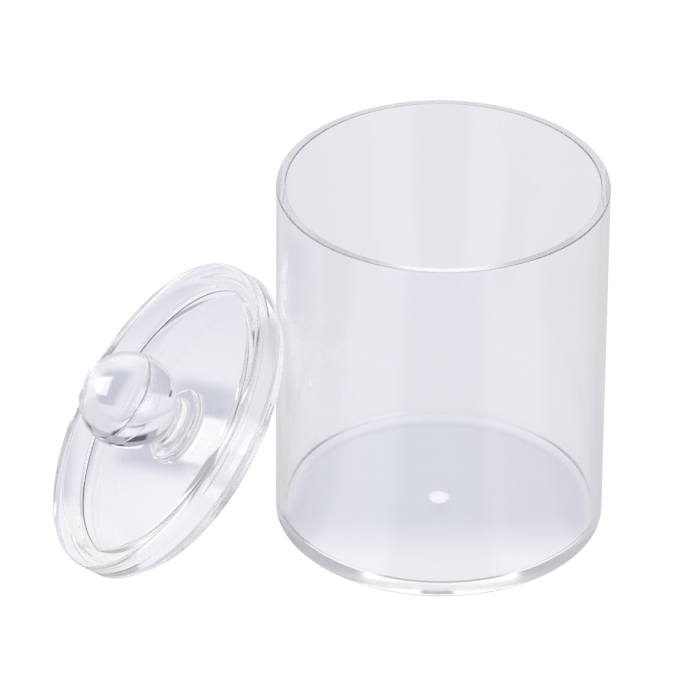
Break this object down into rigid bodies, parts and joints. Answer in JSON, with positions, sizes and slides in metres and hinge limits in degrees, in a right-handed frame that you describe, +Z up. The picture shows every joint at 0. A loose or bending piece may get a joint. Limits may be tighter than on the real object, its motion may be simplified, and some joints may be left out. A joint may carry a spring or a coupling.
{
  "type": "cotton swab holder",
  "caption": "Clear round plastic jar for cotton swabs, with its dish-shaped lid and ball knob taken off and leaning against the side.",
  "frame": {"origin": "centre of the jar's base, on the surface that it stands on", "axes": "+Z up along the jar's axis, -X towards the leaning lid, Y across"},
  "size_m": [0.1351, 0.0812, 0.0924],
  "materials": {
    "jar_plastic": "clear, polished, with faint grey-blue edges",
    "lid_plastic": "clear, polished, with faint grey-blue edges",
    "knob_plastic": "clear, polished"
  },
  "bodies": {
    "root": {"jar": "jar_plastic", "lid": "lid_plastic", "knob": "knob_plastic"}
  },
  "joints": []
}
